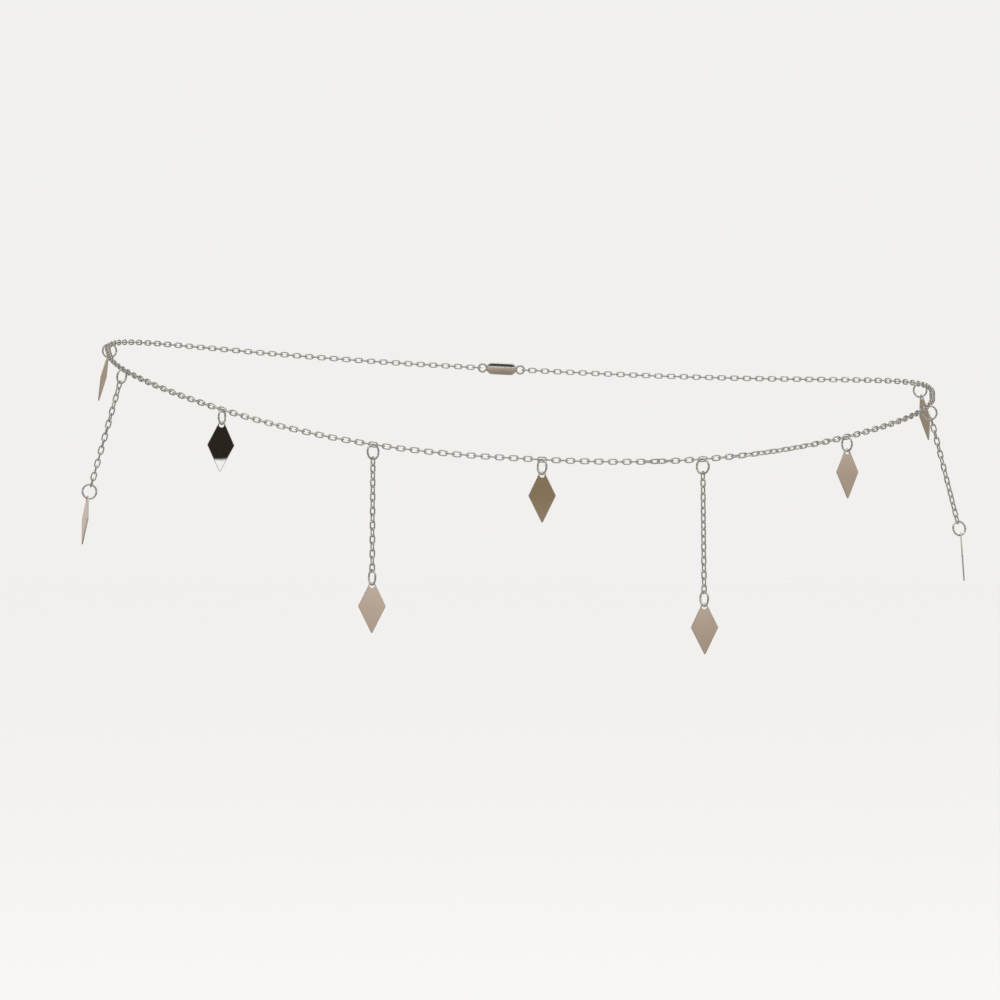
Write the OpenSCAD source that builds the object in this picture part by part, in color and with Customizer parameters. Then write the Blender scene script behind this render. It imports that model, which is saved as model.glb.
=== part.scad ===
// Waist chain: a fine cable chain worn low round the hips, with flat rhombus drops hanging
// from it on jump rings, by turns straight from the ring and on a short length of chain.
// Millimetres. +X is the wearer's left, -Y the front, +Z up. The origin is the middle of
// the waist that the loop sits on.

/* [Waist loop] */
// Width of the loop halfway between front and back
loop_w = 288; // [250:2:330]
// Depth of the loop from front to back
loop_d = 174; // [150:2:220]
// How square the loop is, where 2 is an ellipse
loop_squareness = 2.5; // [2:0.1:2.8]
// How much wider the back half of the loop is than the front half
back_fullness = 0.16; // [0:0.02:0.2]
// How far the front hangs below the back
front_fall = 35; // [10:1:60]
// How far the wearer's left side hangs below the right side
side_fall = 14.5; // [0:0.5:24]
// How far the hips lift both sides
hip_rise = 6; // [0:0.5:10]

/* [Chain] */
// Width across one chain link
link_w = 2.1; // [1.9:0.05:2.4]
// Wire of a chain link
link_wire = 0.5; // [0.4:0.01:0.52]
// Distance from one link's middle to the next one's
link_pitch = 2.333; // [2.2:0.001:2.6]
// Play between a link and the wire that it holds
link_play = 0.17; // [0.15:0.01:0.22]
// Links from one drop to the next
links_apart = 24; // [20:2:26]
// Distance from the middle of the front to the middle drop
middle_shift = 4.2; // [0:0.1:6]

/* [Jump rings] */
// Outer diameter of a jump ring
ring_d = 5.5; // [5.2:0.1:6.5]
// Wire of a jump ring
ring_wire = 0.65; // [0.5:0.05:0.7]
// Play between a jump ring and the links on it
ring_play = 0.2; // [0.14:0.01:0.25]

/* [Plates] */
// Width of a rhombus plate
plate_w = 9; // [7:0.1:12]
// Length of a plate from the middle of its hole to its lower tip
plate_l = 15.6; // [12:0.1:22]
// Distance from the lower tip up to the widest place
plate_low = 8.8; // [6:0.1:11]
// Thickness of a plate
plate_t = 0.45; // [0.4:0.05:0.6]
// Hole for the jump ring
hole_d = 1.7; // [1.6:0.05:2.2]
// Play between the hole's edge and the jump ring under it
hole_play = 0.3; // [0.28:0.01:0.45]
// Metal left round the hole
hole_rim = 0.3; // [0.3:0.05:0.8]
// Rounding of the other corners
corner_r = 0.35; // [0.1:0.05:1]

/* [Clasp] */
// Length of the clasp between the middles of its eyes
clasp_l = 14; // [12:0.5:20]
// Width of the clasp's body
clasp_w = 4.4; // [3:0.1:7]
// Thickness of the clasp's body
clasp_t = 1.8; // [1.2:0.1:3]
// Outer diameter of a clasp eye
eye_d = 3.6; // [3.4:0.1:4.4]
// Wire of a clasp eye
eye_wire = 0.7; // [0.6:0.05:0.8]

/* [Hidden] */

silver = [0.80, 0.79, 0.77];
bright_silver = [0.86, 0.85, 0.83];
warm_silver = [0.72, 0.68, 0.63];

// Columns of the table of drops
LINKS = 0;
RING_TURN = 1;
LOW_TURN = 2;
PLATE_TURN = 3;
LEAN = 4;
PLATE_LEAN = 5;
LINKS_MORE = 6;
// One row for each drop, from the wearer's right hip to the left hip: links in its chain,
// turn of its top ring, of its low ring and of its plate about the vertical, how far it
// leans outwards over the hip, how far its plate does, and by how many links it hangs off
// the even spacing, as the maker counted them
drops = [
    [0, 8, 0, 0, 16, 12, 0],
    [16, 31, 172, 172, 16.5, 7, 0],
    [0, 9, 0, 35, 4, 4, 0],
    [16, -36, 38, 12, 2, 2, 0],
    [0, 34, 0, 0, 2, 2, 0],
    [17, 37, 14, -14, 2, 2, -1],
    [0, 0, 0, -6, 1, 1, -1],
    [16, 0, 44, 12, 14.5, 4, -1],
    [0, -8, 0, 0, 14, 10, -1]
];
middle_drop = (len(drops) - 1) / 2;

link_l = link_pitch + link_play + 2 * link_wire;
ring_r = (ring_d - ring_wire) / 2;
// The ring's middle lies this far below the middle of the link that it hangs from
ring_below_chain = link_w / 2 - link_wire - ring_play - ring_wire / 2 + ring_r;
// The first link's middle lies this far below the ring's middle
link_below_ring = ring_r - ring_wire / 2 - ring_play + link_l / 2 - link_wire;
// The hole's middle lies this far below the ring's middle
hole_below_ring = ring_r - ring_wire / 2 - hole_play + hole_d / 2;

// Points along the loop, one a degree, and the length of chain up to each
loop_steps = 360;
loop_points = [for (i = [0 : loop_steps]) loop_point(i * 360 / loop_steps - 180)];
loop_lengths = [
    for (i = 0, s = 0; i <= loop_steps;
         i = i + 1, s = s + (i > loop_steps ? 0 : norm(loop_points[i] - loop_points[i - 1]))) s
];
loop_l = loop_lengths[loop_steps];
front_s = loop_lengths[loop_steps / 2];
loop_tables = [for (c = [0 : 2]) [for (i = [0 : loop_steps]) [loop_lengths[i], loop_points[i][c]]]];

tube_sides = 8;
// One straight piece of the tube stands for this many links, at the front and behind
links_a_step_front = 5.5;
links_a_step_back = 7.25;
tube_step_front = links_a_step_front * link_pitch;
tube_step_back = links_a_step_back * link_pitch;
// The tube narrows over this length to the width inside a link, where it meets the link's end
neck = link_w / 2 - link_wire;
// Share of a link's wire that the end of the tube covers
neck_overlap = 0.4;
tube_start = link_l / 2 - link_wire * neck_overlap;
link_sides = 12;
wire_sides = 6;
half_l = loop_l / 2 - clasp_l / 2;
eye_hole = eye_d - 2 * eye_wire;
// The chain is made as a right and a left length, which meet here, between two links
meeting_s = (links_apart + 1) / 2 * link_pitch;
meeting_gap = 0.12;

function power_of(v, p) = sign(v) * pow(abs(v), p);

// Point of the loop at angle t, which is 0 at the front and 90 on the wearer's left
function loop_point(t) =
    let (
        x = loop_w / 2 * power_of(sin(t), 2 / loop_squareness) * (1 - back_fullness * cos(t)),
        y = -loop_d / 2 * power_of(cos(t), 2 / loop_squareness),
        z = front_fall * y / loop_d - side_fall * x / loop_w - hip_rise * cos(2 * t)
    )
    [x, y, z];

// Point of the chain at length s from the middle drop, to the wearer's left
function chain_at(s) =
    let (
        v = s + middle_shift + front_s,
        u = v - loop_l * floor(v / loop_l)
    )
    [for (table = loop_tables) lookup(u, table)];

function unit(v) = v / norm(v);
function chain_direction(s) = unit(chain_at(s + link_l / 2) - chain_at(s - link_l / 2));
function heading(v) = atan2(v.y, v.x);
function slope(v) = asin(v.z);

// A ring of points round centre c, in the plane of the unit vectors a and b
function ring_of_points(c, a, b, r, sides) =
    [for (k = [0 : sides - 1]) c + r * (cos(k * 360 / sides) * a + sin(k * 360 / sides) * b)];

// Faces of a skin over rings of points, closed into a loop or capped at its ends
function skin_faces(rings, sides, closed) =
    let (last = closed ? rings - 1 : rings - 2)
    concat(
        [
            for (i = [0 : last], j = [0 : sides - 1], half = [0, 1])
                let (
                    a = i * sides + j,
                    b = i * sides + (j + 1) % sides,
                    c = (i + 1) % rings * sides + j,
                    d = (i + 1) % rings * sides + (j + 1) % sides
                )
                half == 0 ? [a, b, d] : [a, d, c]
        ],
        closed ? [] : [
            [for (j = [sides - 1 : -1 : 0]) j],
            [for (j = [0 : sides - 1]) (rings - 1) * sides + j]
        ]
    );

module skin(rings, closed = false) {
    sides = len(rings[0]);
    polyhedron(
        points = [for (r = rings) each r],
        faces = skin_faces(len(rings), sides, closed)
    );
}

// A chain link in the XZ plane, its length along X
module link() {
    bend_r = (link_w - link_wire) / 2;
    straight = link_l / 2 - link_w / 2;
    per_end = link_sides / 2;
    skin(
        [
            for (end = [0, 1], i = [0 : per_end - 1])
                let (
                    a = end * 180 - 90 + i * 180 / (per_end - 1),
                    out = [cos(a), 0, sin(a)],
                    c = [(1 - 2 * end) * straight, 0, 0] + bend_r * out
                )
                ring_of_points(c, out, [0, -1, 0], link_wire / 2, wire_sides)
        ],
        closed = true
    );
}

// Chain from length s1 to length s2 as a plain tube, narrowed where an end holds a link
module chain_tube(s1, s2, step, narrow_1, narrow_2) {
    inner_1 = narrow_1 ? s1 + neck : s1;
    inner_2 = narrow_2 ? s2 - neck : s2;
    count = max(2, round((inner_2 - inner_1) / step));
    stations = concat(
        narrow_1 ? [[s1, neck]] : [],
        [for (i = [0 : count]) [inner_1 + i * (inner_2 - inner_1) / count, link_w / 2]],
        narrow_2 ? [[s2, neck]] : []
    );
    skin([
        for (place = stations)
            let (
                along = chain_direction(place[0]),
                side = unit(cross(along, [0, 0, 1])),
                up = cross(side, along)
            )
            ring_of_points(chain_at(place[0]), side, up, place[1], tube_sides)
    ]);
}

// Moves to length s of the chain, with X along the chain and level, and -Y outwards
module at_station(s) {
    translate(chain_at(s)) rotate([0, 0, heading(chain_direction(s))]) children();
}

// Moves to length s of the chain, with X along the chain and its slope, and -Y outwards
module along_chain(s) {
    at_station(s) rotate([0, -slope(chain_direction(s)), 0]) children();
}

// A link of the chain itself at length s, turned about the chain
module chain_link_at(s, turn = 0) {
    along_chain(s) rotate([turn, 0, 0]) link();
}

function drop_s(i) = ((i - middle_drop) * links_apart + drops[i][LINKS_MORE]) * link_pitch;

// Length of chain with its drops first to last, and its end link at the clasp
module chain_half(first, last, side) {
    end_s = side * (half_l - eye_hole / 2 + link_play + link_wire - link_l / 2);
    color(silver) union() {
        for (i = [first : last]) chain_link_at(drop_s(i));
        for (i = [first : last - 1])
            chain_tube(drop_s(i) + tube_start, drop_s(i + 1) - tube_start, tube_step_front, true, true);
        chain_link_at(end_s, 90);
        if (side < 0) {
            chain_tube(end_s + tube_start, drop_s(first) - tube_start, tube_step_back, true, true);
            chain_tube(drop_s(last) + tube_start, meeting_s - meeting_gap / 2, tube_step_front, true, false);
        } else {
            chain_tube(drop_s(last) + tube_start, end_s - tube_start, tube_step_back, true, true);
            chain_tube(meeting_s + meeting_gap / 2, drop_s(first) - tube_start, tube_step_front, false, true);
        }
    }
}

module chain_right() chain_half(0, middle_drop, -1);
module chain_left() chain_half(middle_drop + 1, len(drops) - 1, 1);

// Wire ring standing in the YZ plane
module wire_ring(r, wire) {
    rotate([0, 90, 0]) rotate_extrude($fn = 64) translate([r, 0]) circle(d = wire, $fn = 24);
}

// Plain fastener at the back, with an eye for each end of the chain
module clasp() {
    body_l = clasp_l - eye_d + eye_wire;
    color(silver) along_chain(loop_l / 2) rotate([90, 0, 0]) {
        translate([0, 0, -clasp_t / 2]) linear_extrude(clasp_t) {
            square([body_l - clasp_w, clasp_w], center = true);
            for (x = [-1, 1]) translate([x * (body_l - clasp_w) / 2, 0]) circle(d = clasp_w, $fn = 48);
        }
        for (x = [-1, 1])
            translate([x * clasp_l / 2, 0, 0])
                rotate_extrude($fn = 48) translate([(eye_d - eye_wire) / 2, 0]) circle(d = eye_wire, $fn = 24);
    }
}

// Moves to the middle of drop i's top ring, tilted outwards with the drop
module at_drop(i, lean) {
    at_station(drop_s(i)) rotate([-lean, 0, 0]) translate([0, 0, -ring_below_chain]) children();
}

function chain_drop(i) =
    drops[i][LINKS] == 0 ? 0 : 2 * link_below_ring + (drops[i][LINKS] - 1) * link_pitch;

module top_ring(i) {
    color(bright_silver) at_drop(i, drops[i][LEAN])
        rotate([0, 0, drops[i][RING_TURN]]) wire_ring(ring_r, ring_wire);
}

// Links by turns across and along the ring, turned little by little from top to bottom ring
module drop_chain(i) {
    count = drops[i][LINKS];
    quarter_turns = count % 2 == 0 ? 90 : 0;
    twist = drops[i][LOW_TURN] - drops[i][RING_TURN] - quarter_turns;
    near = twist - 180 * round(twist / 180);
    color(silver) at_drop(i, drops[i][LEAN])
        for (n = [0 : count - 1])
            translate([0, 0, -link_below_ring - n * link_pitch])
                rotate([0, 0, drops[i][RING_TURN] + 90 * n + near * (n + 0.5) / count])
                    rotate([0, 90, 0]) link();
}

module low_ring(i) {
    color(bright_silver) at_drop(i, drops[i][LEAN]) translate([0, 0, -chain_drop(i)])
        rotate([0, 0, drops[i][LOW_TURN]]) wire_ring(ring_r, ring_wire);
}

// Convex outline round circles given as [x, y, radius], counter-clockwise
module outline_round(circles) {
    count = len(circles);
    polygon([
        for (i = [0 : count - 1])
            let (
                p = circles[i],
                q = circles[(i + 1) % count],
                step = [q.x - p.x, q.y - p.y],
                a = atan2(step.y, step.x) - 90 + asin((p[2] - q[2]) / norm(step)),
                out = [cos(a), sin(a)]
            )
            each [[p.x, p.y] + p[2] * out, [q.x, q.y] + q[2] * out]
    ]);
    for (c = circles) translate([c.x, c.y]) circle(r = c[2], $fn = 32);
}

// Rhombus plate in the XZ plane, its hole's middle at the origin
module plate() {
    widest = plate_low - plate_l;
    rotate([90, 0, 0]) difference() {
        translate([0, 0, -plate_t / 2]) linear_extrude(plate_t) outline_round([
            [0, 0, hole_d / 2 + hole_rim],
            [corner_r - plate_w / 2, widest, corner_r],
            [0, corner_r - plate_l, corner_r],
            [plate_w / 2 - corner_r, widest, corner_r]
        ]);
        translate([0, 0, -plate_t]) cylinder(d = hole_d, h = 2 * plate_t, $fn = 32);
    }
}

module drop_plate(i) {
    color(warm_silver) at_drop(i, drops[i][LEAN]) translate([0, 0, -chain_drop(i) - ring_r])
        rotate([drops[i][LEAN] - drops[i][PLATE_LEAN], 0, 0]) translate([0, 0, ring_r - hole_below_ring])
            rotate([0, 0, drops[i][PLATE_TURN]]) plate();
}

chain_right();
chain_left();
clasp();
for (i = [0 : len(drops) - 1]) {
    top_ring(i);
    drop_plate(i);
    if (drops[i][LINKS] > 0) {
        drop_chain(i);
        low_ring(i);
    }
}
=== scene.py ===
import math
from bisect import bisect_right
from collections import namedtuple

import bmesh
import bpy
from mathutils import Matrix, Vector


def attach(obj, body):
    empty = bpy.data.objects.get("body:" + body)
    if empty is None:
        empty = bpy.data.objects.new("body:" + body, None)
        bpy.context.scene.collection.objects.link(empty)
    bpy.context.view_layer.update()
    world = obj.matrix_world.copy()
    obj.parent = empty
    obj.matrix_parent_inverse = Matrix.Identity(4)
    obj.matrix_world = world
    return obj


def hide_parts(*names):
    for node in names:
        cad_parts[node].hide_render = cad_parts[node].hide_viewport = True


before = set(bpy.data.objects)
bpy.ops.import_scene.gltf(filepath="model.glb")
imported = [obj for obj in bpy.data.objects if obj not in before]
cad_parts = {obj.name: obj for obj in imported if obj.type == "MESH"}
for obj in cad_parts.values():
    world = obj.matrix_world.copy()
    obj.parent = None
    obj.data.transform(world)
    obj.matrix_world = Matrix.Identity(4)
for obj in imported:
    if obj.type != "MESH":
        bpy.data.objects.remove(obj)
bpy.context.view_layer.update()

MM = 0.001

# ---- Sizes in millimetres and degrees, as in the part's source ----
LOOP_W = 288
LOOP_D = 174
LOOP_SQUARENESS = 2.5
BACK_FULLNESS = 0.16
FRONT_FALL = 35
SIDE_FALL = 14.5
HIP_RISE = 6
LOOP_STEPS = 360

LINK_W = 2.1
LINK_WIRE = 0.5
LINK_PITCH = 2.333
LINK_PLAY = 0.17
LINKS_APART = 24
MIDDLE_SHIFT = 4.2
LINK_L = LINK_PITCH + LINK_PLAY + 2 * LINK_WIRE

RING_D = 5.5
RING_WIRE = 0.65
RING_PLAY = 0.2
RING_R = (RING_D - RING_WIRE) / 2

PLATE_W = 9
PLATE_L = 15.6
PLATE_LOW = 8.8
PLATE_T = 0.45
HOLE_D = 1.7
HOLE_PLAY = 0.3
HOLE_RIM = 0.3
CORNER_R = 0.35

CLASP_L = 14
CLASP_W = 4.4
CLASP_T = 1.8
EYE_D = 3.6
EYE_WIRE = 0.7

RING_BELOW_CHAIN = LINK_W / 2 - LINK_WIRE - RING_PLAY - RING_WIRE / 2 + RING_R
LINK_BELOW_RING = RING_R - RING_WIRE / 2 - RING_PLAY + LINK_L / 2 - LINK_WIRE
HOLE_BELOW_RING = RING_R - RING_WIRE / 2 - HOLE_PLAY + HOLE_D / 2

# One row for each drop, from the wearer's right hip to the left hip: links in its chain, turn
# of its top ring, of its low ring and of its plate, lean of the drop and lean of the plate,
# and the links by which it hangs off the even spacing
Drop = namedtuple("Drop", "links ring_turn low_turn plate_turn lean plate_lean links_off")
DROPS = [
    Drop(0, 8, 0, 0, 16, 12, 0),
    Drop(16, 31, 172, 172, 16.5, 7, 0),
    Drop(0, 9, 0, 35, 4, 4, 0),
    Drop(16, -36, 38, 12, 2, 2, 0),
    Drop(0, 34, 0, 0, 2, 2, 0),
    Drop(17, 37, 14, -14, 2, 2, -1),
    Drop(0, 0, 0, -6, 1, 1, -1),
    Drop(16, 0, 44, 12, 14.5, 4, -1),
    Drop(0, -8, 0, 0, 14, 10, -1),
]
MIDDLE_DROP = 4
LAST_DROP = len(DROPS) - 1

# Places nearer than this count as one
SAME = 0.001


# ---- The loop's line ----
def power_of(v, p):
    return math.copysign(abs(v) ** p, v)


def loop_point(t):
    """Point of the loop at angle t, which is 0 at the front and 90 on the wearer's left."""
    s, c = math.sin(math.radians(t)), math.cos(math.radians(t))
    x = LOOP_W / 2 * power_of(s, 2 / LOOP_SQUARENESS) * (1 - BACK_FULLNESS * c)
    y = -LOOP_D / 2 * power_of(c, 2 / LOOP_SQUARENESS)
    z = FRONT_FALL * y / LOOP_D - SIDE_FALL * x / LOOP_W - HIP_RISE * math.cos(math.radians(2 * t))
    return Vector((x, y, z))


loop_points = [loop_point(i * 360 / LOOP_STEPS - 180) for i in range(LOOP_STEPS + 1)]
loop_lengths = [0.0]
for before, after in zip(loop_points, loop_points[1:]):
    loop_lengths.append(loop_lengths[-1] + (after - before).length)
LOOP_L = loop_lengths[-1]
FRONT_S = loop_lengths[LOOP_STEPS // 2]


def chain_at(s):
    """Point of the chain at length s from the middle drop, to the wearer's left."""
    u = (s + MIDDLE_SHIFT + FRONT_S) % LOOP_L
    i = min(bisect_right(loop_lengths, u), LOOP_STEPS) - 1
    share = (u - loop_lengths[i]) / (loop_lengths[i + 1] - loop_lengths[i])
    return loop_points[i].lerp(loop_points[i + 1], share)


def chain_direction(s):
    return (chain_at(s + LINK_L / 2) - chain_at(s - LINK_L / 2)).normalized()


def turned(degrees, axis):
    return Matrix.Rotation(math.radians(degrees), 4, axis)


def moved(x, y, z):
    return Matrix.Translation((x, y, z))


def station(s):
    """Place at length s of the chain, with X along the chain and level, and -Y outwards."""
    d = chain_direction(s)
    return Matrix.Translation(chain_at(s)) @ Matrix.Rotation(math.atan2(d.y, d.x), 4, "Z")


def chain_link_place(s, turn):
    slope = math.asin(chain_direction(s).z)
    return station(s) @ Matrix.Rotation(-slope, 4, "Y") @ turned(turn, "X")


def drop_link(i):
    """Number of the chain's link that drop i hangs from, counted from the middle drop's."""
    return (i - MIDDLE_DROP) * LINKS_APART + DROPS[i].links_off


def drop_s(i):
    return drop_link(i) * LINK_PITCH


def drop_place(i):
    """Middle of drop i's top ring, tilted outwards with the drop."""
    return station(drop_s(i)) @ turned(-DROPS[i].lean, "X") @ moved(0, 0, -RING_BELOW_CHAIN)


def chain_drop(links):
    return 2 * LINK_BELOW_RING + (links - 1) * LINK_PITCH if links else 0


# ---- Materials ----
def linear(hex_colour):
    """An sRGB colour such as #b8ab9c as linear values with alpha."""
    parts = [int(hex_colour[i : i + 2], 16) / 255 for i in (1, 3, 5)]
    return [p / 12.92 if p <= 0.04045 else ((p + 0.055) / 1.055) ** 2.4 for p in parts] + [1.0]


def add(tree, kind, settings=None, values=None, links=None):
    """Adds a node, sets its properties and input values, and joins its inputs to other outputs."""
    node = tree.nodes.new(kind)
    for name, value in (settings or {}).items():
        setattr(node, name, value)
    for name, value in (values or {}).items():
        node.inputs[name].default_value = value
    for name, output in (links or {}).items():
        tree.links.new(output, node.inputs[name])
    return node


def polished_metal(name, light, dark, smooth, rough, wave_mm, wave_height_mm, scratch_mm):
    """Polished metal whose colour, gloss and flatness wander a little over its surface."""
    material = bpy.data.materials.new(name)
    material.use_nodes = True
    tree = material.node_tree
    tree.nodes.clear()
    where = add(tree, "ShaderNodeTexCoord").outputs["Object"]
    wave = add(
        tree,
        "ShaderNodeTexNoise",
        values={"Scale": 1 / (wave_mm * MM), "Detail": 1.0, "Roughness": 0.4},
        links={"Vector": where},
    )
    fine = add(
        tree,
        "ShaderNodeTexNoise",
        values={"Scale": 1 / (scratch_mm * MM), "Detail": 3.0, "Roughness": 0.6},
        links={"Vector": where},
    )
    colour = add(
        tree,
        "ShaderNodeMix",
        settings={"data_type": "RGBA"},
        links={0: wave.outputs["Fac"]},
    )
    colour.inputs[6].default_value = linear(dark)
    colour.inputs[7].default_value = linear(light)
    gloss = add(
        tree,
        "ShaderNodeMapRange",
        values={"From Min": 0.3, "From Max": 0.7, "To Min": smooth, "To Max": rough},
        links={"Value": fine.outputs["Fac"]},
    )
    swell = add(
        tree,
        "ShaderNodeBump",
        values={"Strength": 1.0, "Distance": wave_height_mm * MM},
        links={"Height": wave.outputs["Fac"]},
    )
    shader = add(
        tree,
        "ShaderNodeBsdfPrincipled",
        values={"Metallic": 1.0},
        links={
            "Base Color": colour.outputs[2],
            "Roughness": gloss.outputs["Result"],
            "Normal": swell.outputs["Normal"],
        },
    )
    add(tree, "ShaderNodeOutputMaterial", links={"Surface": shader.outputs["BSDF"]})
    return material


# Drawn brass wire, silver plated and tumbled bright: small links that glitter, a little warm
plated_wire = polished_metal(
    "silver_plated_drawn_wire",
    light="#e4e1db",
    dark="#c9c5be",
    smooth=0.10,
    rough=0.18,
    wave_mm=3.0,
    wave_height_mm=0.004,
    scratch_mm=0.5,
)
# The same wire, thicker and closed by hand: rings with clear white highlights
plated_ring_wire = polished_metal(
    "silver_plated_ring_wire",
    light="#e6e3dd",
    dark="#ccc8c1",
    smooth=0.08,
    rough=0.14,
    wave_mm=4.0,
    wave_height_mm=0.004,
    scratch_mm=0.6,
)
# Rolled sheet, stamped and mirror polished: flat fields of one tone, light along the rim
mirror_sheet = polished_metal(
    "mirror_polished_sheet",
    light="#dfd9d0",
    dark="#d4cdc3",
    smooth=0.002,
    rough=0.006,
    wave_mm=9.0,
    wave_height_mm=0.002,
    scratch_mm=0.8,
)


# ---- Making and finishing pieces ----
def edges_of(geom):
    return [g for g in geom if isinstance(g, bmesh.types.BMEdge)]


def verts_of(geom):
    return [g for g in geom if isinstance(g, bmesh.types.BMVert)]


def edges_at(verts):
    """Edges that meet at verts, each once and in the same order each run."""
    return list(dict.fromkeys(e for v in verts for e in v.link_edges))


def in_order(elements, key):
    """Sorts a mesh's corners or faces, which the spin operator makes in no fixed order."""
    for i, element in enumerate(sorted(elements, key=key)):
        element.index = i
    elements.sort()


def finished(name, bm, material, slot, *nodes):
    """Turns a mesh drawn in millimetres into a piece in metres that stands for CAD nodes."""
    bmesh.ops.recalc_face_normals(bm, faces=bm.faces)
    bmesh.ops.scale(bm, vec=(MM, MM, MM), verts=bm.verts)
    in_order(bm.verts, lambda v: tuple(v.co))
    in_order(bm.faces, lambda f: [v.index for v in f.verts])
    mesh = bpy.data.meshes.new(name)
    bm.to_mesh(mesh)
    bm.free()
    mesh.shade_smooth()
    mesh.materials.append(material)
    piece = bpy.data.objects.new(name, mesh)
    bpy.context.scene.collection.objects.link(piece)
    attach(piece, "root")
    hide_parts(*nodes)
    return piece


WIRE_SIDES = 6
BEND_STEPS = 5


def draw_link(bm):
    """An oval link in its own XZ plane, its length along X."""
    bend_r = (LINK_W - LINK_WIRE) / 2
    straight = (LINK_L - LINK_W) / 2
    section = bmesh.ops.create_circle(
        bm,
        segments=WIRE_SIDES,
        radius=LINK_WIRE / 2,
        matrix=moved(straight, 0, -bend_r) @ turned(90, "Y"),
    )
    edges = edges_at(section["verts"])
    for end in (1, -1):
        bend = bmesh.ops.spin(
            bm,
            geom=edges,
            cent=(end * straight, 0, 0),
            axis=(0, -1, 0),
            angle=math.pi,
            steps=BEND_STEPS,
        )
        edges = edges_of(bend["geom_last"])
        run = bmesh.ops.extrude_edge_only(bm, edges=edges)
        edges = edges_of(run["geom"])
        shifted = verts_of(run["geom"])
        edges = [e for e in edges if all(v in shifted for v in e.verts)]
        bmesh.ops.translate(bm, vec=(-2 * end * straight, 0, 0), verts=shifted)


def wire_ring(bm, radius, wire, steps, sides, cut, place):
    """A wire bent round into a ring in its own YZ plane, its ends butted at a fine cut."""
    gap = math.degrees(cut / radius) if cut else 0
    section = bmesh.ops.create_circle(
        bm,
        cap_ends=bool(cut),
        segments=sides,
        radius=wire / 2,
        matrix=turned(gap / 2, "X") @ moved(0, radius, 0),
    )
    spun = bmesh.ops.spin(
        bm,
        geom=edges_at(section["verts"]),
        cent=(0, 0, 0),
        axis=(1, 0, 0),
        angle=math.radians(360 - gap),
        steps=steps,
        use_merge=not cut,
    )
    if cut:
        bmesh.ops.edgeloop_fill(bm, edges=edges_of(spun["geom_last"]))
    bmesh.ops.transform(bm, matrix=place, verts=bm.verts)


# One link is drawn once and its mesh is copied to every place
link_bm = bmesh.new()
draw_link(link_bm)
bmesh.ops.remove_doubles(link_bm, verts=link_bm.verts, dist=0.01)
bmesh.ops.recalc_face_normals(link_bm, faces=link_bm.faces)
link_mesh = bpy.data.meshes.new("link")
link_bm.to_mesh(link_mesh)
link_bm.free()


def string_of_links(places):
    """One mesh of interlocked links, one at each place."""
    bm = bmesh.new()
    for place in places:
        known = len(bm.verts)
        bm.from_mesh(link_mesh)
        bm.verts.ensure_lookup_table()
        bmesh.ops.transform(bm, matrix=place, verts=bm.verts[known:])
    return bm


# ---- The main chain ----
QUARTER_FROM = 14
QUARTER_TO = 19
TWIST_TURN = 45
eye_hole = EYE_D - 2 * EYE_WIRE
end_s = LOOP_L / 2 - CLASP_L / 2 - eye_hole / 2 + LINK_PLAY + LINK_WIRE - LINK_L / 2


def link_turn(k):
    """Turn of link k about the chain. The chain makes a quarter turn before the sixth drop,
    which hangs an odd number of links on, and is twisted a little on the way to the seventh."""
    quarter = min(max((k - QUARTER_FROM) / (QUARTER_TO - QUARTER_FROM), 0), 1)
    between = (k - drop_link(5)) / (drop_link(6) - drop_link(5))
    twist = TWIST_TURN * math.sin(math.pi * between) ** 2 if 0 < between < 1 else 0
    return 90 * (k % 2) + 90 * quarter + twist


stretches = {-1: [], 1: []}
for k in range(drop_link(0), drop_link(LAST_DROP) + 1):
    side = 1 if k > LINKS_APART // 2 else -1
    stretches[side].append(chain_link_place(k * LINK_PITCH, link_turn(k)))
# Behind the hips an odd number of links leads to the clasp, so the last one lies flat in its eye
for side, last in ((-1, 0), (1, LAST_DROP)):
    length = end_s - abs(drop_s(last))
    count = 2 * round((length / LINK_PITCH - 1) / 2) + 1
    for n in range(1, count + 1):
        s = drop_s(last) + side * n * length / count
        stretches[side].append(chain_link_place(s, 90 * (n % 2)))
finished("chain_right_links", string_of_links(stretches[-1]), plated_wire, "chain", "chain_right")
finished("chain_left_links", string_of_links(stretches[1]), plated_wire, "chain", "chain_left")


# ---- The drops ----
def drop_links(i):
    """Links by turns across and along the ring, turned little by little from ring to ring."""
    drop = DROPS[i]
    quarter = 90 if drop.links % 2 == 0 else 0
    twist = drop.low_turn - drop.ring_turn - quarter
    twist -= 180 * round(twist / 180)
    top = drop_place(i)
    return [
        top
        @ moved(0, 0, -LINK_BELOW_RING - n * LINK_PITCH)
        @ turned(drop.ring_turn + 90 * n + twist * (n + 0.5) / drop.links, "Z")
        @ turned(90, "Y")
        for n in range(drop.links)
    ]


RING_CUT = 0.06
RING_STEPS = 48
RING_SIDES = 12


def ring(name, place, turn):
    bm = bmesh.new()
    wire_ring(bm, RING_R, RING_WIRE, RING_STEPS, RING_SIDES, RING_CUT, place @ turned(turn, "Z"))
    finished(name + "_wire", bm, plated_ring_wire, "rings", name)


# Less than half of the rim round the hole
EDGE_ROUND = 0.14
ROUND_STEPS = 3
CORNER_SIDES = 48
HOLE_SIDES = 32
# Cosine between a face's normal and the sheet's from which the face is one of its flat two
FLAT_FROM = 0.999


def rim_levels():
    """Heights through the sheet from face to face, and how far the rounded rims draw in there."""
    upper = []
    for k in range(ROUND_STEPS + 1):
        a = math.pi / 2 * k / ROUND_STEPS
        upper.append((PLATE_T / 2 - EDGE_ROUND * (1 - math.sin(a)), EDGE_ROUND * (1 - math.cos(a))))
    return [(-z, inset) for z, inset in reversed(upper)] + upper


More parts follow.
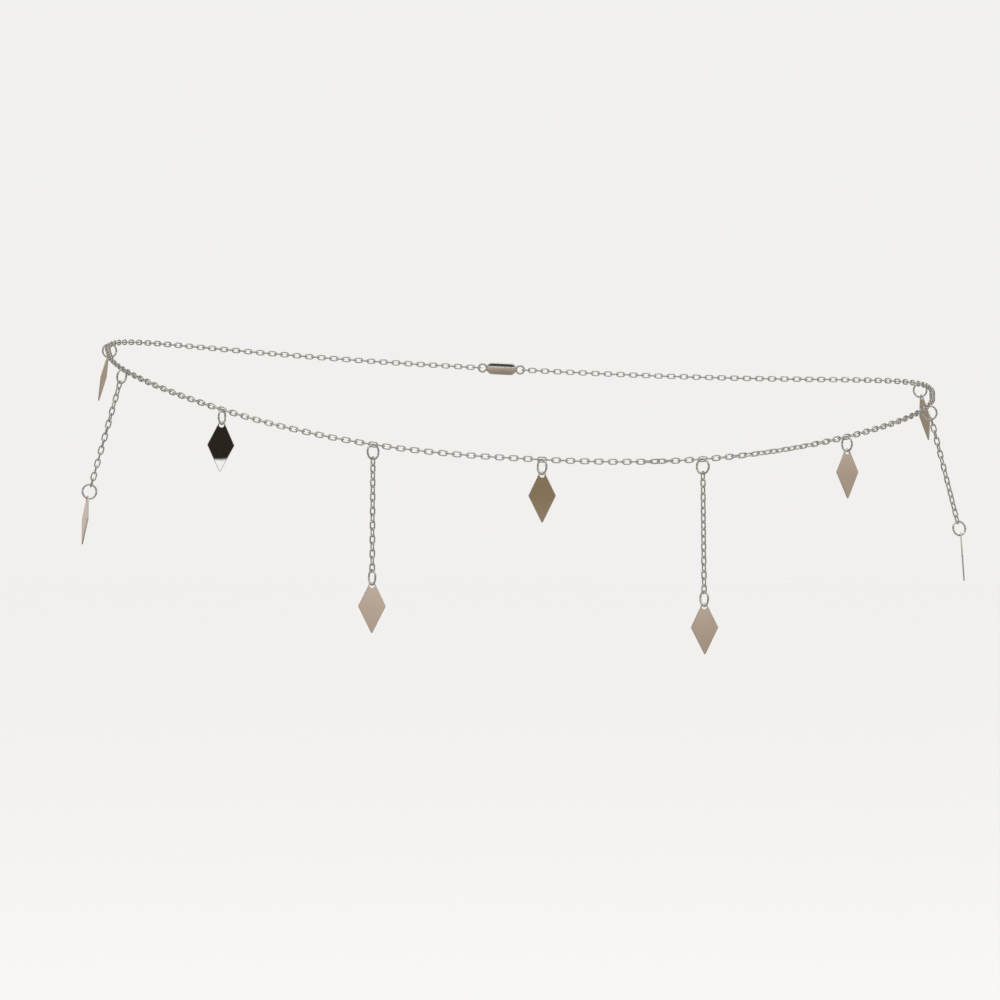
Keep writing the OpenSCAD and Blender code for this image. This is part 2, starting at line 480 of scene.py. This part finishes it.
def plate_blank(bm):
    """Stamped rhombus in its own XZ plane with its hole's middle at the origin."""
    levels = rim_levels()
    widest = PLATE_LOW - PLATE_L
    rounds = [
        (0, 0, HOLE_D / 2 + HOLE_RIM),
        (CORNER_R - PLATE_W / 2, widest, CORNER_R),
        (0, CORNER_R - PLATE_L, CORNER_R),
        (PLATE_W / 2 - CORNER_R, widest, CORNER_R),
    ]
    for x, y, r in rounds:
        for z, inset in levels:
            bmesh.ops.create_circle(
                bm, segments=CORNER_SIDES, radius=r - inset, matrix=moved(x, y, z)
            )
    hull = bmesh.ops.convex_hull(bm, input=bm.verts)
    spare = dict.fromkeys(verts_of(hull["geom_interior"] + hull["geom_unused"]))
    bmesh.ops.delete(bm, geom=list(spare), context="VERTS")
    bmesh.ops.dissolve_limit(bm, angle_limit=math.radians(1), verts=bm.verts, edges=bm.edges)
    # The hull's two flat faces go, and are filled again round the hole
    flat = [f for f in bm.faces if all(abs(v.co.z - f.verts[0].co.z) < SAME for v in f.verts)]
    bmesh.ops.delete(bm, geom=flat, context="FACES")
    rims = []
    for z, inset in levels:
        outer = [e for e in bm.edges if all(abs(v.co.z - z) < SAME for v in e.verts)]
        hole = bmesh.ops.create_circle(
            bm, segments=HOLE_SIDES, radius=HOLE_D / 2 + inset, matrix=moved(0, 0, z)
        )
        rims.append(edges_at(hole["verts"]))
        if z in (levels[0][0], levels[-1][0]):
            bmesh.ops.triangle_fill(bm, use_beauty=True, edges=outer + rims[-1])
    for below, above in zip(rims, rims[1:]):
        bmesh.ops.bridge_loops(bm, edges=below + above)
    bmesh.ops.transform(bm, matrix=turned(90, "X"), verts=bm.verts)


def drop_plate(i):
    drop = DROPS[i]
    name = f"plate_{i + 1}"
    bm = bmesh.new()
    plate_blank(bm)
    place = (
        drop_place(i)
        @ moved(0, 0, -chain_drop(drop.links) - RING_R)
        @ turned(drop.lean - drop.plate_lean, "X")
        @ moved(0, 0, RING_R - HOLE_BELOW_RING)
        @ turned(drop.plate_turn, "Z")
    )
    bmesh.ops.transform(bm, matrix=place, verts=bm.verts)
    piece = finished(name + "_sheet", bm, mirror_sheet, "plates", name)
    # The sheet's two faces are dead flat, and only its rims are smooth
    across = place.to_3x3() @ Vector((0, 1, 0))
    for face in piece.data.polygons:
        face.use_smooth = abs(face.normal.dot(across)) < FLAT_FROM


for i, drop in enumerate(DROPS):
    top = drop_place(i)
    ring(f"ring_{i + 1}", top, drop.ring_turn)
    if drop.links:
        low = top @ moved(0, 0, -chain_drop(drop.links))
        ring(f"low_ring_{i + 1}", low, drop.low_turn)
        name = f"drop_chain_{i + 1}"
        finished(name + "_links", string_of_links(drop_links(i)), plated_wire, "chain", name)
    drop_plate(i)


# ---- The clasp ----
CLASP_ROUND = 0.5
EYE_STEPS = 40


def clasp_body(bm):
    """A flat bar with round ends and rounded rims, its length along X."""
    body_l = CLASP_L - EYE_D + EYE_WIRE
    bmesh.ops.create_circle(
        bm,
        cap_ends=True,
        segments=CORNER_SIDES,
        radius=CLASP_W / 2,
        matrix=moved(0, 0, -CLASP_T / 2),
    )
    for side in (-1, 1):
        half = [v for v in bm.verts if v.co.x * side > SAME]
        bmesh.ops.translate(bm, vec=(side * (body_l - CLASP_W) / 2, 0, 0), verts=half)
    rise = bmesh.ops.extrude_face_region(bm, geom=bm.faces[:])
    bmesh.ops.translate(bm, vec=(0, 0, CLASP_T), verts=verts_of(rise["geom"]))
    rims = [e for e in bm.edges if abs(e.verts[0].co.z - e.verts[1].co.z) < SAME]
    bmesh.ops.bevel(
        bm,
        geom=rims,
        offset=CLASP_ROUND,
        affect="EDGES",
        segments=4,
        profile=0.5,
        material=-1,
        offset_type="OFFSET",
    )


bm = bmesh.new()
clasp_body(bm)
for side in (-1, 1):
    eye = bmesh.new()
    wire_ring(
        eye,
        (EYE_D - EYE_WIRE) / 2,
        EYE_WIRE,
        EYE_STEPS,
        RING_SIDES,
        0,
        moved(side * CLASP_L / 2, 0, 0) @ turned(90, "Y"),
    )
    eye_mesh = bpy.data.meshes.new("eye")
    eye.to_mesh(eye_mesh)
    eye.free()
    bm.from_mesh(eye_mesh)
    bpy.data.meshes.remove(eye_mesh)
bmesh.ops.transform(bm, matrix=chain_link_place(LOOP_L / 2, 90), verts=bm.verts)
finished("clasp_body", bm, plated_ring_wire, "clasp", "clasp")
bpy.data.meshes.remove(link_mesh)


# ---- Floor, light and camera ----
def plain(name, colour, rough):
    material = bpy.data.materials.new(name)
    material.use_nodes = True
    shader = material.node_tree.nodes["Principled BSDF"]
    shader.inputs["Base Color"].default_value = linear(colour)
    shader.inputs["Roughness"].default_value = rough
    return material


# In metres: the floor's height, far under the lowest tip, and its radius
FLOOR_Z = -0.30
FLOOR_R = 12

bm = bmesh.new()
bmesh.ops.create_circle(bm, cap_ends=True, segments=64, radius=FLOOR_R, matrix=moved(0, 0, FLOOR_Z))
floor_mesh = bpy.data.meshes.new("floor")
bm.to_mesh(floor_mesh)
bm.free()
floor_mesh.materials.append(plain("pale_floor_paint", "#f4f4f4", 0.8))
floor = bpy.data.objects.new("floor", floor_mesh)
bpy.context.scene.collection.objects.link(floor)


def softbox(name, place, aim, width, height, watts):
    light = bpy.data.lights.new(name, "AREA")
    light.shape = "RECTANGLE"
    light.size = width
    light.size_y = height
    light.energy = watts
    lamp = bpy.data.objects.new(name, light)
    lamp.location = place
    lamp.rotation_euler = (Vector(aim) - Vector(place)).to_track_quat("-Z", "Y").to_euler()
    bpy.context.scene.collection.objects.link(lamp)
    lamp.visible_camera = False


softbox("softbox_above", (0, -0.6, 1.6), (0, 0, 0), width=0.9, height=0.5, watts=3)
for name, x in (("softbox_right", -1.5), ("softbox_left", 1.5)):
    softbox(name, (x, -1.2, 0.5), (0, 0, -0.03), width=0.3, height=0.9, watts=1.8)

# The far floor gives back this share of the backdrop's light, so the backdrop shines on it
# that much brighter than it looks, and no line shows where the two meet
FLOOR_SHARE = 0.87


def tones_along(tree, coordinate, tones):
    """Colours along one coordinate of a direction, given as [coordinate, colour] from -1 up."""
    share = step_up(tree, coordinate, -1.0, 2.0)
    node = add(tree, "ShaderNodeValToRGB", links={"Fac": share})
    elements = node.color_ramp.elements
    elements.remove(elements[1])
    elements[0].position = 0.0
    elements[0].color = linear(tones[0][1])
    for place, colour in tones[1:]:
        elements.new((place + 1) / 2).color = linear(colour)
    return node.outputs["Color"]


def mixed(tree, share, first, second):
    """The first colour where share is 0, and the second where it is 1."""
    return add(
        tree, "ShaderNodeMix", settings={"data_type": "RGBA"}, links={0: share, 6: first, 7: second}
    ).outputs[2]


def step_up(tree, value, start, width):
    """0 below start, and 1 from a width above it."""
    return add(
        tree,
        "ShaderNodeMapRange",
        values={"From Min": start, "From Max": start + width},
        links={"Value": value},
    ).outputs["Result"]


# Heights are sines of the angle above the horizon: the strip light's foot and top and how
# soft each is, then its colour, cool and brighter than white, then each height and the colour
# there, below and above the strip
STRIP_FOOT = 0.085
FOOT_BLUR = 0.01
STRIP_TOP = 0.1237
TOP_BLUR = 0.0006
STRIP_GLOW = (1.21, 1.33, 1.44, 1)
FRONT_BELOW = [
    (-1.0, "#8c8a87"),
    (-0.30, "#84817c"),
    (-0.12, "#a89c8e"),
    (0.00, "#baaa9b"),
    (0.028, "#baaa9b"),
    (0.048, "#dfd2c9"),
    (0.056, "#dfd2c9"),
    (0.064, "#9b8c71"),
]
FRONT_ABOVE = [
    (-1.0, "#322d29"),
    (0.45, "#322d29"),
    (0.60, "#e8e5e0"),
]
FLAG_BANDS = [
    (-1.0, "#a9a7a4"),
    (-0.75, "#cccac7"),
    (-0.38, "#cccac7"),
    (-0.24, "#75736f"),
    (0.20, "#82807c"),
    (0.45, "#adaba8"),
    (0.60, "#e0deda"),
]
# How far back a direction points, and white where a flag stands there
FLAGS = [
    (-1.0, "#000000"),
    (-0.84, "#000000"),
    (-0.80, "#ffffff"),
    (-0.62, "#ffffff"),
    (-0.58, "#000000"),
    (-0.34, "#000000"),
    (-0.30, "#ffffff"),
    (0.70, "#ffffff"),
    (0.74, "#000000"),
    (0.95, "#000000"),
    (0.97, "#ffffff"),
]


def studio_world():
    """A pale backdrop for the camera. What the metal mirrors is the studio by height: in front,
    grey below, pale walls at eye level, a strip light over the camera, a dark wall and a light
    ceiling; to the sides, grey flags between a pale floor and the same ceiling."""
    world = bpy.data.worlds.new("studio")
    world.use_nodes = True
    tree = world.node_tree
    tree.nodes.clear()
    where = add(tree, "ShaderNodeTexCoord").outputs["Generated"]
    direction = add(tree, "ShaderNodeSeparateXYZ", links={"Vector": where})
    height = direction.outputs["Z"]
    strip = add(tree, "ShaderNodeRGB")
    strip.outputs[0].default_value = STRIP_GLOW
    front = tones_along(tree, height, FRONT_BELOW)
    front = mixed(tree, step_up(tree, height, STRIP_FOOT, FOOT_BLUR), front, strip.outputs[0])
    wall = tones_along(tree, height, FRONT_ABOVE)
    front = mixed(tree, step_up(tree, height, STRIP_TOP, TOP_BLUR), front, wall)
    flags = tones_along(tree, direction.outputs["Y"], FLAGS)
    room = mixed(tree, flags, front, tones_along(tree, height, FLAG_BANDS))
    studio = add(tree, "ShaderNodeBackground", values={"Strength": 1.0}, links={"Color": room})
    ray = add(tree, "ShaderNodeLightPath")
    brightness = add(
        tree,
        "ShaderNodeMapRange",
        values={"To Min": 1 / FLOOR_SHARE, "To Max": 1.0},
        links={"Value": ray.outputs["Is Camera Ray"]},
    ).outputs["Result"]
    backdrop = add(
        tree,
        "ShaderNodeBackground",
        values={"Color": linear("#f1f0ee")},
        links={"Strength": brightness},
    )
    both = add(
        tree,
        "ShaderNodeMixShader",
        links={0: ray.outputs["Is Glossy Ray"], 1: backdrop.outputs[0], 2: studio.outputs[0]},
    )
    add(tree, "ShaderNodeOutputWorld", links={"Surface": both.outputs[0]})
    return world


bpy.context.scene.world = studio_world()
bpy.context.scene.view_settings.view_transform = "Standard"
# The metal mirrors the studio's bands in the floor's place
floor.visible_glossy = False

# The camera stands 1.4 m in front of the hips at their height, level and turned by a little
# over a degree, with a long lens
VIEW_TURN = -0.022
CAMERA_AT = Vector((-7.7, -1400, -37))
SENSOR_W = 36
LENS = 144
camera_data = bpy.data.cameras.new("camera")
camera_data.sensor_width = SENSOR_W
camera_data.lens = LENS
camera = bpy.data.objects.new("camera", camera_data)
camera.location = Matrix.Rotation(VIEW_TURN, 4, "Z") @ CAMERA_AT * MM
camera.rotation_euler = (math.pi / 2, 0, VIEW_TURN)
bpy.context.scene.collection.objects.link(camera)
bpy.context.scene.camera = camera
